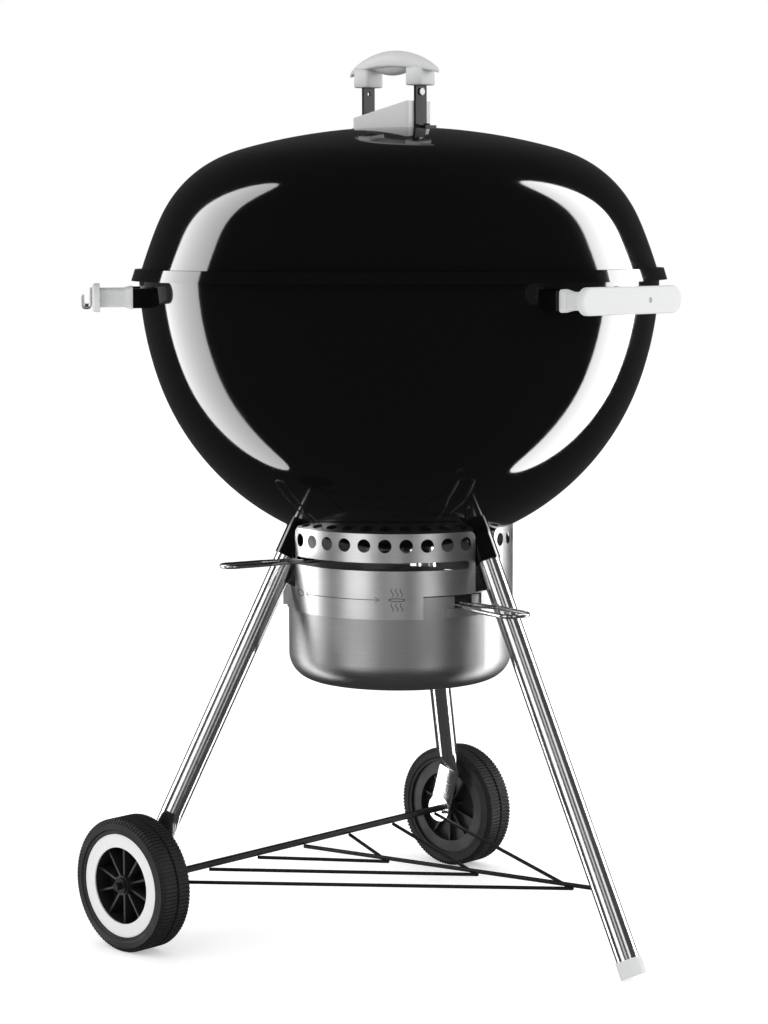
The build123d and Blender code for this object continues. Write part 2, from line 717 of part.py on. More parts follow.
bucket_handle_plane = Plane(
    origin=(0, 0, bucket_handle_height), x_dir=around(catch_angle + 1), z_dir=(0, 0, 1)
)
with BuildPart() as bucket_handle:
    with BuildLine(bucket_handle_plane) as loop:
        FilletPolyline(
            (bucket_radius - 14, 7.0),
            (bucket_radius + 8, 7.0),
            (bucket_radius + 42, 17.0),
            (bucket_handle_reach - bucket_handle_wire, 17.0),
            (bucket_handle_reach - bucket_handle_wire, -17.0),
            (bucket_radius + 42, -17.0),
            (bucket_radius + 8, -7.0),
            (bucket_radius - 14, -7.0),
            radius=14.0,
        )
    with BuildSketch(Plane(origin=loop.line @ 0, z_dir=loop.line % 0)):
        Circle(bucket_handle_wire)
    sweep(path=loop.line)
bucket_handle.part.label = "bucket_handle"
export_step(bucket_handle.part, "parts/bucket_handle.step")

# --- charcoal grate ------------------------------------------------------------------------
frame_height = charcoal_grate_height - grate_rod - grate_frame + grate_bite
with BuildPart() as charcoal_grate:
    with Locations((0, 0, frame_height)):
        Torus(charcoal_grate_radius - grate_frame, grate_frame)
    rods = int((charcoal_grate_radius - 2 * grate_frame) / charcoal_pitch)
    for step in range(-rods, rods + 1):
        x = step * charcoal_pitch
        half = sqrt((charcoal_grate_radius - grate_frame) ** 2 - x**2)
        add(wire([(x, -half, charcoal_grate_height), (x, half, charcoal_grate_height)], grate_rod))
    for y in (-charcoal_grate_radius / 2, charcoal_grate_radius / 2):
        half = sqrt((charcoal_grate_radius - grate_frame) ** 2 - y**2)
        add(wire([(-half, y, frame_height), (half, y, frame_height)], grate_bar))
charcoal_grate.part.label = "charcoal_grate"
export_step(charcoal_grate.part, "parts/charcoal_grate.step")

# --- cooking grate with two hinged flaps ---------------------------------------------------
frame_height = cooking_grate_height - grate_rod - grate_frame + grate_bite
hinge_x = flap_hinge_rod * grate_pitch
frame_radius = cooking_grate_radius - grate_frame
frame_y = cooking_grate_radius * 0.55
with BuildPart() as cooking_grate:
    with Locations((0, 0, frame_height)):
        Torus(frame_radius, grate_frame)
    for step in range(-flap_hinge_rod, flap_hinge_rod + 1):
        x = step * grate_pitch
        half = sqrt(frame_radius**2 - x**2)
        add(wire([(x, -half, cooking_grate_height), (x, half, cooking_grate_height)], grate_rod))
    for y in (-frame_y, frame_y):
        add(wire([(-hinge_x, y, frame_height), (hinge_x, y, frame_height)], grate_bar))
cooking_grate.part.label = "cooking_grate"
export_step(cooking_grate.part, "parts/cooking_grate.step")

flap_wire = 2.3
flap_radius = cooking_grate_radius - 2 * grate_frame - flap_gap - flap_wire
flap_low = cooking_grate_height - grate_rod - flap_wire + 0.8
flap_arm_y = frame_y * 0.55
barrel = grate_rod + running_gap
barrel_wall = 1.8
first_flap_rod = hinge_x + grate_pitch
flap_rods = int((flap_radius - 3 * grate_rod - first_flap_rod) / grate_pitch) + 1
for name, side in (("right_grate_flap", 1), ("left_grate_flap", -1)):
    with BuildPart() as flap:
        arc_half = degrees(acos(first_flap_rod / flap_radius))
        with BuildLine() as rim:
            CenterArc((0, 0, flap_low), flap_radius, 90 - side * 90 - arc_half, 2 * arc_half)
        with BuildSketch(Plane(origin=rim.line @ 0, z_dir=rim.line % 0)):
            Circle(flap_wire)
        sweep(path=rim.line)
        for step in range(flap_rods):
            rod_x = first_flap_rod + grate_pitch * step
            half = sqrt(flap_radius**2 - rod_x**2) - 0.5
            rod_end = (side * rod_x, half, cooking_grate_height)
            rod_ends = [(side * rod_x, -half, cooking_grate_height), rod_end]
            add(wire(rod_ends, grate_rod))
        for y in (-flap_arm_y, flap_arm_y):
            outer_x = sqrt(flap_radius**2 - y**2)
            add(wire([(side * (hinge_x + 1), y, flap_low), (side * outer_x, y, flap_low)], grate_rod))
            with BuildSketch(Plane(origin=(side * hinge_x, y, cooking_grate_height), z_dir=(0, 1, 0))):
                Circle(barrel + barrel_wall)
            extrude(amount=5, both=True)
        with BuildSketch(Plane(origin=(side * hinge_x, 0, cooking_grate_height), z_dir=(0, 1, 0))):
            Circle(barrel)
        extrude(amount=flap_arm_y + 10, both=True, mode=Mode.SUBTRACT)
    flap.part.label = name
    export_step(flap.part, f"parts/{name}.step")

# --- side handles --------------------------------------------------------------------------
grip_inner = handle_face - grip_thickness
for name, angle in handle_angles.items():
    with BuildPart() as brackets:
        for spread in (-arm_spread, arm_spread):
            with BuildSketch(upright(angle, bowl_radius * 0.8, handle_height)):
                with Locations((spread, 0)):
                    Rectangle(bracket_width, bracket_height)
            extrude(amount=bracket_end - bowl_radius * 0.8)
        add(bowl_space, mode=Mode.SUBTRACT)
    brackets.part.label = f"{name}_handle_brackets"
    export_step(brackets.part, f"parts/{name}_handle_brackets.step")

    with BuildPart() as handle:
        with BuildSketch(upright(angle, grip_inner, handle_height)):
            SlotOverall(handle_length, grip_height)
        extrude(amount=grip_thickness)
        fillet(handle.faces().sort_by(Axis(around(angle, 0), around(angle)))[-1].edges(), 3.0)
        for spread in (-arm_spread, arm_spread):
            with BuildSketch(upright(angle, bracket_end + weld_gap, handle_height)):
                with Locations((spread, 0)):
                    RectangleRounded(arm_width, arm_height, 3)
            extrude(amount=grip_inner - bracket_end)
            with BuildSketch(upright(angle, bracket_end + weld_gap, handle_height)):
                with Locations((spread, 0)):
                    RectangleRounded(arm_width + 5, arm_foot_height, 4)
            extrude(amount=8, taper=14)
        with BuildSketch(upright(angle, handle_face - 2, handle_height)):
            with Locations((27, 0)):
                Circle(3.0)
        extrude(amount=3, mode=Mode.SUBTRACT)
    handle.part.label = f"{name}_handle"
    export_step(handle.part, f"parts/{name}_handle.step")

hook_wire = 1.8
hook_stand = 11.0
hook_half = 10.0
with BuildPart() as hooks:
    for spread in (-48.0, 0.0, 48.0):
        angle = handle_angles["left"]
        hook_plane = Plane(
            origin=around(angle, handle_face + weld_gap, handle_height) + around(angle + 90) * spread,
            x_dir=around(angle),
            z_dir=around(angle - 90),
        )
        with BuildLine(hook_plane) as bend:
            FilletPolyline(
                (hook_wire, hook_half),
                (hook_wire, -hook_half),
                (hook_stand, -hook_half),
                (hook_stand, 2),
                radius=3.6,
            )
        with BuildSketch(Plane(origin=bend.line @ 0, z_dir=bend.line % 0)):
            Circle(hook_wire)
        sweep(path=bend.line)
hooks.part.label = "tool_hooks"
export_step(hooks.part, "parts/tool_hooks.step")

# --- lid -----------------------------------------------------------------------------------
damper_tilt = degrees(asin(damper_offset / crown_arc))
damper_axis = around(damper_angle, sin(radians(damper_tilt)), cos(radians(damper_tilt)))
damper_seat = Vector(0, 0, crown_centre) + damper_axis * crown_arc
damper_plane = Plane(origin=damper_seat, x_dir=around(damper_angle + 90), z_dir=damper_axis)
with BuildPart() as lid:
    with BuildSketch(Plane.XZ):
        dome = lid_curve(0)
        under = lid_curve(sheet)
        with BuildLine():
            ThreePointArc(*dome[0:3])
            ThreePointArc(*dome[2:5])
            ThreePointArc(*dome[4:7])
            Polyline(
                dome[6],
                (skirt_top_radius, lid_foot_height),
                (skirt_radius, lid_foot_height - skirt_drop),
                (skirt_radius - sheet, lid_foot_height - skirt_drop),
                (skirt_top_radius - sheet, rim_height),
                (under[6][0], rim_height),
                under[6],
            )
            ThreePointArc(*under[4:7])
            ThreePointArc(*under[2:5])
            ThreePointArc(*under[0:3])
            Line(under[0], dome[0])
        make_face()
    revolve(axis=Axis.Z)
    with BuildSketch(damper_plane):
        Circle(3.05)
        with PolarLocations(damper_hole_offset, damper_holes):
            Circle(damper_hole_radius)
    extrude(amount=3 * sheet, both=True, mode=Mode.SUBTRACT)
lid.part.label = "lid"
export_step(lid.part, "parts/lid.step")

damper_skin = crown_arc + slide_gap
with BuildPart() as damper:
    with BuildSketch(damper_plane):
        Circle(damper_radius)
    extrude(amount=5, both=True)
    with BuildPart(mode=Mode.INTERSECT):
        with Locations((0, 0, crown_centre)):
            Sphere(damper_skin + 1.2)
            Sphere(damper_skin, mode=Mode.SUBTRACT)
    with BuildSketch(damper_plane):
        with Locations((damper_radius - 6, 0)):
            Rectangle(1.2, 16)
    extrude(amount=9)
    with BuildPart(mode=Mode.SUBTRACT):
        with Locations((0, 0, crown_centre)):
            Sphere(damper_skin)
    with BuildSketch(damper_plane):
        Circle(3.05)
        with PolarLocations(damper_hole_offset, damper_holes):
            Circle(damper_hole_radius)
    extrude(amount=5, both=True, mode=Mode.SUBTRACT)
damper.part.label = "lid_damper"
export_step(damper.part, "parts/lid_damper.step")

with BuildPart() as rivet:
    with BuildSketch(damper_plane.offset(-2 * sheet)):
        Circle(3.0)
    extrude(amount=2 * sheet + 2.2)
    with BuildSketch(damper_plane.offset(2.1)):
        Circle(6.0)
    extrude(amount=2.0)
    with BuildSketch(damper_plane.offset(-sheet - 0.3)):
        Circle(5.5)
    extrude(amount=-1.6)
rivet.part.label = "damper_rivet"
export_step(rivet.part, "parts/damper_rivet.step")

# --- lid handle ----------------------------------------------------------------------------
crown_drop = lid_post_spread**2 / (2 * crown_arc)
grip_half = lid_grip_length / 2
grip_tip = 3.0              # thickness of the grip's overhanging ends
grip_taper = 1.06           # the plan ellipse's length against the grip's
grip_round = 5.0
low = tip_height - grip_tip
with BuildPart() as grip:
    with BuildSketch(Plane(origin=(lid_handle_x, 0, 0), x_dir=(1, 0, 0), z_dir=(0, -1, 0))):
        with BuildLine():
            ThreePointArc((-grip_half, tip_height), (0, lid_handle_top), (grip_half, tip_height))
            Polyline((grip_half, tip_height), (grip_half - grip_tip, low), (lid_post_spread, low))
            ThreePointArc((lid_post_spread, low), (0, low - grip_tip), (-lid_post_spread, low))
            Polyline((-lid_post_spread, low), (-grip_half + grip_tip, low), (-grip_half, tip_height))
        make_face()
    extrude(amount=lid_grip_width, both=True)
    with BuildSketch(Plane.XY.offset(lid_boss_bottom - grip_tip)):
        with Locations((lid_handle_x, 0)):
            Ellipse(grip_half * grip_taper, lid_grip_width / 2)
    extrude(amount=lid_handle_rise, mode=Mode.INTERSECT)
    # the long top edges are rounded for the hand
    fillet(edges().group_by(Axis.Z)[-1], grip_round)
    with BuildSketch(Plane.XY.offset(lid_boss_bottom)):
        with Locations((lid_handle_x - lid_post_spread, 0), (lid_handle_x + lid_post_spread, 0)):
            Ellipse(lid_boss_length / 2, lid_boss_width / 2)
    extrude(amount=tip_height + grip_tip / 2 - lid_boss_bottom)
    with BuildSketch(Plane.XY.offset(lid_boss_bottom)):
        with Locations((lid_handle_x - lid_post_spread, 0), (lid_handle_x + lid_post_spread, 0)):
            Rectangle(strap_thickness + 2 * weld_gap, strap_width + 2 * weld_gap)
    extrude(amount=12, mode=Mode.SUBTRACT)
grip.part.label = "lid_handle_grip"
export_step(grip.part, "parts/lid_handle_grip.step")

strap_foot = 16.0
with BuildPart(mode=Mode.PRIVATE) as under_crown:
    with Locations((0, 0, crown_centre)):
        Sphere(crown_arc + weld_gap)
for name, side in (("near_handle_strap", 1), ("far_handle_strap", -1)):
    x = lid_handle_x + side * lid_post_spread
    with BuildPart() as strap:
        with BuildSketch(Plane.XY.offset(lid_top - 20)):
            with Locations((x, 0)):
                Rectangle(strap_thickness, strap_width)
        extrude(amount=lid_boss_bottom + 11 - lid_top + 20)
        with BuildSketch(Plane.XY.offset(lid_top - 20)):
            with Locations((x + side * strap_foot / 2, 0)):
                Rectangle(strap_foot, strap_width)
        extrude(amount=20 + strap_thickness - crown_drop)
        add(under_crown.part, mode=Mode.SUBTRACT)
        with BuildSketch(Plane.YZ.offset(x)):
            with Locations((0, lid_boss_bottom - 7)):
                Circle(2.5)
        extrude(amount=2 * strap_thickness, both=True, mode=Mode.SUBTRACT)
    strap.part.label = name
    export_step(strap.part, f"parts/{name}.step")

shield_near = lid_handle_x + lid_post_spread - strap_thickness / 2 - weld_gap
shield_far = lid_handle_x - lid_post_spread - 6.0
with BuildPart() as shield:
    with BuildSketch(Plane.XY.offset(lid_top - 20)):
        with Locations(((shield_near + shield_far) / 2, 0)):
            Rectangle(shield_near - shield_far, 2 * shield_half_width)
            fillet(vertices(), 3)
    extrude(amount=60)
    with BuildSketch(Plane.XY.offset(lid_top - 20)):
        with Locations(((shield_near + shield_far) / 2 - shield_sheet - 5, 0)):
            Rectangle(shield_near - shield_far + 10, 2 * shield_half_width - 2 * shield_sheet)
    extrude(amount=60, mode=Mode.SUBTRACT)
    with BuildSketch(Plane.XZ):
        with BuildLine():
            Polyline((shield_near + 1, shield_high), (shield_far - 1, shield_low),
                     (shield_far - 1, shield_high + 50), (shield_near + 1, shield_high + 50), close=True)
        make_face()
    extrude(amount=2 * shield_half_width, both=True, mode=Mode.SUBTRACT)
    with BuildSketch(Plane.YZ.offset(shield_near)):
        with Locations((0, shield_high - 6)):
            Rectangle(strap_width * 0.7, lid_boss_bottom - shield_high + 5, align=(Align.CENTER, Align.MIN))
    extrude(amount=-shield_sheet)
    add(under_crown.part, mode=Mode.SUBTRACT)
    with BuildSketch(Plane.YZ.offset(shield_near)):
        with Locations((0, lid_boss_bottom - 7)):
            Circle(2.5)
    extrude(amount=2 * strap_thickness, both=True, mode=Mode.SUBTRACT)
shield.part.label = "heat_shield"
export_step(shield.part, "parts/heat_shield.step")

with BuildPart() as shield_screw:
    head_x = lid_handle_x + lid_post_spread + strap_thickness / 2 + weld_gap
    with BuildSketch(Plane.YZ.offset(head_x)):
        with Locations((0, lid_boss_bottom - 7)):
            Circle(4.0)
    extrude(amount=1.8)
    with BuildSketch(Plane.YZ.offset(head_x)):
        with Locations((0, lid_boss_bottom - 7)):
            Circle(2.4)
    extrude(amount=-strap_thickness - shield_sheet - 3)
shield_screw.part.label = "shield_screw"
export_step(shield_screw.part, "parts/shield_screw.step")

with BuildPart() as strap_rivets:
    for side in (1, -1):
        x = lid_handle_x + side * (lid_post_spread + strap_foot * 0.6)
        with BuildSketch(Plane.XY.offset(lid_top - crown_drop + strap_thickness + weld_gap)):
            with Locations((x, 0)):
                Circle(3.5)
        extrude(amount=1.8)
strap_rivets.part.label = "strap_rivets"
export_step(strap_rivets.part, "parts/strap_rivets.step")
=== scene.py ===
# Looks of a kettle charcoal grill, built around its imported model. Metres, +Z up.
import json
import math
import bmesh
import bpy
from mathutils import Matrix, Vector


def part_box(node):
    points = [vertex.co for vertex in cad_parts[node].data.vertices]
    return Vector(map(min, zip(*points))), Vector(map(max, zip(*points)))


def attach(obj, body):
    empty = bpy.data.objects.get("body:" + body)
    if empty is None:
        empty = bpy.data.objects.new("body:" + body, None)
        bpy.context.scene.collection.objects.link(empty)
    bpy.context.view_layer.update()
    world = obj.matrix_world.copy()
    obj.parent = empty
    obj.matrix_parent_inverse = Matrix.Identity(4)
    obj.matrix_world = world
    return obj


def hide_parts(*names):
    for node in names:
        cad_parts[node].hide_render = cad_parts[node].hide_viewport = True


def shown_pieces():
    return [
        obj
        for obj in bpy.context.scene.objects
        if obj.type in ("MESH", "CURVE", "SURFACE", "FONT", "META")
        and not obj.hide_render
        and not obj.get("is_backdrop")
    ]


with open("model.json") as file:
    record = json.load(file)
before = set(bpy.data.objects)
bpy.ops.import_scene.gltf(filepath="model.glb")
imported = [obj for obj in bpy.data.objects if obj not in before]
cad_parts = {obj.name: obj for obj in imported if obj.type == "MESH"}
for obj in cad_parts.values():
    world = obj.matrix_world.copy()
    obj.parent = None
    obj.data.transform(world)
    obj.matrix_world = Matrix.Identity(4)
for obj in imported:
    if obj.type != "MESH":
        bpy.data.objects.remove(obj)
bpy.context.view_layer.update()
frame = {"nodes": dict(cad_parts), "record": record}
nodes = frame["nodes"]
millimetre = 0.001
print("frame loaded:", len(nodes), "nodes")

# shared effects: node groups that put out a value or a colour that changes over the surface


def newGroup(name, inputs, outputs):
    group = bpy.data.node_groups.new(name, "ShaderNodeTree")
    for label, kind, value in inputs:
        socket = group.interface.new_socket(label, in_out="INPUT", socket_type=kind)
        socket.default_value = value
    for label, kind in outputs:
        group.interface.new_socket(label, in_out="OUTPUT", socket_type=kind)
    start = group.nodes.new("NodeGroupInput")
    end = group.nodes.new("NodeGroupOutput")
    return group, start, end


def addNode(tree, kind, **settings):
    node = tree.nodes.new(kind)
    for key, value in settings.items():
        setattr(node, key, value)
    return node


def makeStretchedNoise():
    # noise pulled out along an axis: brush lines, draw lines, moulding flow
    group, start, end = newGroup(
        "stretchedNoise",
        [("Stretch", "NodeSocketVector", (1, 1, 1)), ("Scale", "NodeSocketFloat", 100.0),
            ("Detail", "NodeSocketFloat", 3.0)],
        [("Mask", "NodeSocketFloat")],
    )
    place = addNode(group, "ShaderNodeTexCoord")
    mapped = addNode(group, "ShaderNodeVectorMath", operation="MULTIPLY")
    noise = addNode(group, "ShaderNodeTexNoise")
    link = group.links.new
    link(place.outputs["Object"], mapped.inputs[0])
    link(start.outputs["Stretch"], mapped.inputs[1])
    link(mapped.outputs[0], noise.inputs["Vector"])
    link(start.outputs["Scale"], noise.inputs["Scale"])
    link(start.outputs["Detail"], noise.inputs["Detail"])
    link(noise.outputs["Fac"], end.inputs["Mask"])
    return group


def makeBlotches():
    # slow change over the surface, from one value to another: handling marks and uneven sheen
    group, start, end = newGroup(
        "blotches",
        [("Scale", "NodeSocketFloat", 8.0), ("Low", "NodeSocketFloat", 0.2),
            ("High", "NodeSocketFloat", 0.4)],
        [("Value", "NodeSocketFloat"), ("Mask", "NodeSocketFloat")],
    )
    place = addNode(group, "ShaderNodeTexCoord")
    noise = addNode(group, "ShaderNodeTexNoise")
    noise.inputs["Detail"].default_value = 5.0
    noise.inputs["Roughness"].default_value = 0.6
    spread = addNode(group, "ShaderNodeMapRange")
    spread.inputs["From Min"].default_value = 0.35
    spread.inputs["From Max"].default_value = 0.65
    link = group.links.new
    link(place.outputs["Object"], noise.inputs["Vector"])
    link(start.outputs["Scale"], noise.inputs["Scale"])
    link(noise.outputs["Fac"], spread.inputs["Value"])
    link(start.outputs["Low"], spread.inputs["To Min"])
    link(start.outputs["High"], spread.inputs["To Max"])
    link(spread.outputs["Result"], end.inputs["Value"])
    link(noise.outputs["Fac"], end.inputs["Mask"])
    return group


def makeSpecks():
    # sparse small flecks: dust on plastic, grit in rubber, scale on wire
    group, start, end = newGroup(
        "specks",
        [("Scale", "NodeSocketFloat", 300.0), ("Size", "NodeSocketFloat", 0.2)],
        [("Mask", "NodeSocketFloat")],
    )
    place = addNode(group, "ShaderNodeTexCoord")
    cells = addNode(group, "ShaderNodeTexVoronoi")
    cut = addNode(group, "ShaderNodeMath", operation="LESS_THAN")
    link = group.links.new
    link(place.outputs["Object"], cells.inputs["Vector"])
    link(start.outputs["Scale"], cells.inputs["Scale"])
    link(cells.outputs["Distance"], cut.inputs[0])
    link(start.outputs["Size"], cut.inputs[1])
    link(cut.outputs[0], end.inputs["Mask"])
    return group


stretchedNoise = makeStretchedNoise()
blotches = makeBlotches()
specks = makeSpecks()


def useGroup(tree, group, **values):
    node = addNode(tree, "ShaderNodeGroup", node_tree=group)
    for key, value in values.items():
        node.inputs[key].default_value = value
    return node


def makeFinish(name, look):
    material = bpy.data.materials.new(name)
    material.use_nodes = True
    tree = material.node_tree
    shader = tree.nodes["Principled BSDF"]
    link = tree.links.new
    shader.inputs["Metallic"].default_value = look.get("metallic", 0.0)
    shader.inputs["Specular IOR Level"].default_value = look.get("specular", 0.5)
    shader.inputs["Coat Weight"].default_value = look.get("coat", 0.0)
    shader.inputs["Coat Roughness"].default_value = look.get("coatRoughness", 0.03)
    shader.inputs["Anisotropic"].default_value = look.get("anisotropic", 0.0)
    grain = useGroup(tree, stretchedNoise, Stretch=look["stretch"], Scale=look["grainScale"],
        Detail=look["grainDetail"])
    patches = useGroup(tree, blotches, Scale=look["patchScale"], Low=look["roughness"][0],
        High=look["roughness"][1])
    # colour: the base, streaked by the grain and stained in patches
    streaks = addNode(tree, "ShaderNodeMix", data_type="RGBA")
    streaks.inputs[6].default_value = (*look["base"], 1)
    streaks.inputs[7].default_value = (*look["streak"], 1)
    link(grain.outputs["Mask"], streaks.inputs[0])
    flecks = useGroup(tree, specks, Scale=look["fleckScale"], Size=look["fleckSize"])
    marked = addNode(tree, "ShaderNodeMix", data_type="RGBA")
    marked.inputs[7].default_value = (*look["fleck"], 1)
    link(flecks.outputs["Mask"], marked.inputs[0])
    link(streaks.outputs[2], marked.inputs[6])
    link(marked.outputs[2], shader.inputs["Base Color"])
    # roughness: patches with the grain laid over them
    uneven = addNode(tree, "ShaderNodeMath", operation="MULTIPLY_ADD")
    uneven.inputs[1].default_value = look["grainRough"]
    link(grain.outputs["Mask"], uneven.inputs[0])
    link(patches.outputs["Value"], uneven.inputs[2])
    link(uneven.outputs[0], shader.inputs["Roughness"])
    # relief: the grain and a slower waviness
    waves = addNode(tree, "ShaderNodeMath", operation="MULTIPLY_ADD")
    waves.inputs[1].default_value = look["waviness"]
    link(patches.outputs["Mask"], waves.inputs[0])
    link(grain.outputs["Mask"], waves.inputs[2])
    bump = addNode(tree, "ShaderNodeBump")
    bump.inputs["Distance"].default_value = look["relief"]
    bump.inputs["Strength"].default_value = look.get("reliefStrength", 0.5)
    link(waves.outputs[0], bump.inputs["Height"])
    link(bump.outputs["Normal"], shader.inputs["Normal"])
    return material


enamelLook = {
    "base": (0.0022, 0.0022, 0.0024), "streak": (0.004, 0.004, 0.0045), "fleck": (0.006, 0.006, 0.006),
    "stretch": (1, 1, 1), "grainScale": 420, "grainDetail": 2.0, "patchScale": 7, "fleckScale": 260,
    "fleckSize": 0.06,
    "roughness": (0.04, 0.07), "grainRough": 0.01, "waviness": 0.6, "relief": 0.00001, "specular": 0.2,
}
brushedLook = {
    "base": (0.60, 0.60, 0.60), "streak": (0.78, 0.78, 0.775), "fleck": (0.5, 0.5, 0.5),
    "stretch": (0.02, 0.02, 1), "grainScale": 1500, "grainDetail": 4.0, "patchScale": 9,
    "fleckScale": 180, "fleckSize": 0.03,
    "roughness": (0.22, 0.34), "grainRough": 0.12, "waviness": 0.5, "relief": 0.00006, "metallic": 1.0,
}
bucketLook = {**brushedLook, "base": (0.42, 0.42, 0.42), "streak": (0.60, 0.60, 0.60),
    "roughness": (0.28, 0.40)}
tubeLook = {
    "base": (0.72, 0.72, 0.73), "streak": (0.88, 0.88, 0.885), "fleck": (0.55, 0.55, 0.55),
    "stretch": (1, 1, 0.02), "grainScale": 900, "grainDetail": 3.0, "patchScale": 12, "fleckScale": 220,
    "fleckSize": 0.05,
    "roughness": (0.10, 0.18), "grainRough": 0.06, "waviness": 0.6, "relief": 0.00004, "metallic": 1.0,
}
platedLook = {
    "base": (0.62, 0.62, 0.61), "streak": (0.75, 0.75, 0.74), "fleck": (0.35, 0.34, 0.33),
    "stretch": (1, 1, 1), "grainScale": 700, "grainDetail": 3.0, "patchScale": 25, "fleckScale": 500,
    "fleckSize": 0.12,
    "roughness": (0.14, 0.26), "grainRough": 0.05, "waviness": 0.5, "relief": 0.00003, "metallic": 1.0,
}
plainSteelLook = {
    "base": (0.42, 0.42, 0.42), "streak": (0.58, 0.58, 0.57), "fleck": (0.25, 0.24, 0.23),
    "stretch": (1, 1, 1), "grainScale": 1200, "grainDetail": 4.0, "patchScale": 30, "fleckScale": 700,
    "fleckSize": 0.15,
    "roughness": (0.28, 0.42), "grainRough": 0.1, "waviness": 0.4, "relief": 0.00005, "metallic": 1.0,
}
greyPlasticLook = {
    "base": (0.62, 0.625, 0.63), "streak": (0.70, 0.705, 0.71), "fleck": (0.54, 0.54, 0.54),
    "stretch": (1, 1, 1), "grainScale": 2600, "grainDetail": 2.0, "patchScale": 14, "fleckScale": 900,
    "fleckSize": 0.1,
    "roughness": (0.42, 0.55), "grainRough": 0.1, "waviness": 0.3, "relief": 0.00008,
}
greyMetalLook = {
    "base": (0.66, 0.66, 0.66), "streak": (0.74, 0.74, 0.735), "fleck": (0.56, 0.56, 0.56),
    "stretch": (1, 1, 1), "grainScale": 1500, "grainDetail": 2.0, "patchScale": 20, "fleckScale": 600,
    "fleckSize": 0.08,
    "roughness": (0.32, 0.45), "grainRough": 0.08, "waviness": 0.6, "relief": 0.00004, "coat": 0.2,
}
strapLook = {**enamelLook, "roughness": (0.14, 0.24), "specular": 0.3}
blackPlasticLook = {
    "base": (0.010, 0.010, 0.0105), "streak": (0.02, 0.02, 0.02), "fleck": (0.035, 0.034, 0.033),
    "stretch": (1, 1, 1), "grainScale": 2200, "grainDetail": 2.0, "patchScale": 18, "fleckScale": 800,
    "fleckSize": 0.12,
    "roughness": (0.38, 0.55), "grainRough": 0.1, "waviness": 0.3, "relief": 0.00008,
}
rubberLook = {
    "base": (0.006, 0.006, 0.006), "streak": (0.013, 0.013, 0.0125), "fleck": (0.045, 0.044, 0.042),
    "stretch": (1, 1, 1), "grainScale": 1600, "grainDetail": 4.0, "patchScale": 16, "fleckScale": 900,
    "fleckSize": 0.16,
    "roughness": (0.5, 0.7), "grainRough": 0.15, "waviness": 0.4, "relief": 0.00015,
}
whitePlasticLook = {
    "base": (0.74, 0.74, 0.73), "streak": (0.80, 0.80, 0.795), "fleck": (0.62, 0.62, 0.60),
    "stretch": (1, 1, 1), "grainScale": 1800, "grainDetail": 2.0, "patchScale": 20, "fleckScale": 500,
    "fleckSize": 0.06,
    "roughness": (0.3, 0.42), "grainRough": 0.06, "waviness": 0.4, "relief": 0.00005,
}
blackWireLook = {
    "base": (0.006, 0.006, 0.006), "streak": (0.014, 0.014, 0.014), "fleck": (0.03, 0.03, 0.03),
    "stretch": (1, 1, 1), "grainScale": 900, "grainDetail": 3.0, "patchScale": 30, "fleckScale": 700,
    "fleckSize": 0.12,
    "roughness": (0.3, 0.44), "grainRough": 0.08, "waviness": 0.6, "relief": 0.00006, "specular": 0.15,
}

blackEnamel = makeFinish("black enamel", enamelLook)
brushedSteel = makeFinish("brushed steel", brushedLook)
strapPaint = makeFinish("black strap paint", strapLook)
bucketSteel = makeFinish("brushed bucket steel", bucketLook)
drawnTube = makeFinish("drawn aluminium tube", tubeLook)
platedWire = makeFinish("plated wire", platedLook)
plainSteel = makeFinish("plain steel", plainSteelLook)
greyPlastic = makeFinish("grey plastic", greyPlasticLook)
greyMetal = makeFinish("grey painted metal", greyMetalLook)
blackPlastic = makeFinish("black plastic", blackPlasticLook)
tyreRubber = makeFinish("tyre rubber", rubberLook)
whitePlastic = makeFinish("white plastic", whitePlasticLook)
blackWire = makeFinish("black coated wire", blackWireLook)
finishOfSlot = {
    "black_enamel": blackEnamel, "plated_wire": platedWire, "plain_steel": plainSteel,
    "brushed_metal": brushedSteel,
    "bright_tube": drawnTube, "grey_plastic": greyPlastic, "black_wire": blackWire,
    "black_plastic": blackPlastic,
    "tyre_tread": tyreRubber, "white_plastic": whitePlastic, "grey_metal": greyMetal,
}
finishOfNode = {
    "near_handle_strap": strapPaint, "far_handle_strap": strapPaint, "strap_rivets": strapPaint,
    "ash_bucket": bucketSteel, "axle": blackWire, "axle_push_nuts": blackWire,
}
for entry in frame["record"]["subparts"]:
    piece = nodes[entry["node"]]
    piece.data.materials.clear()
    finish = finishOfNode.get(entry["node"], finishOfSlot[entry["material_slot"]])
    piece.data.materials.append(finish)
print("finishes laid on")

# tyres: two rows of fine lugs with a groove between them


def addMesh(name, points, faces, finish, body, smooth=False):
    mesh = bpy.data.meshes.new(name)
    mesh.from_pydata(points, [], faces)
    mesh.validate()
    mesh.update()
    mesh.materials.append(finish)
    for face in mesh.polygons:
        face.use_smooth = smooth
    piece = bpy.data.objects.new(name, mesh)
    bpy.context.scene.collection.objects.link(piece)
    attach(piece, body)
    return piece


tyreLook = {
    "lugs": 108,            # in each row
    "lugDepth": 1.4 * millimetre,
    "lugShare": 0.56,       # of a lug's pitch that stands proud
    "grooveDepth": 2.4 * millimetre,
    "grooveHalf": 1.6 * millimetre,
    "shoulder": 4.0 * millimetre,
    "sidewallStep": 1.2 * millimetre,
}


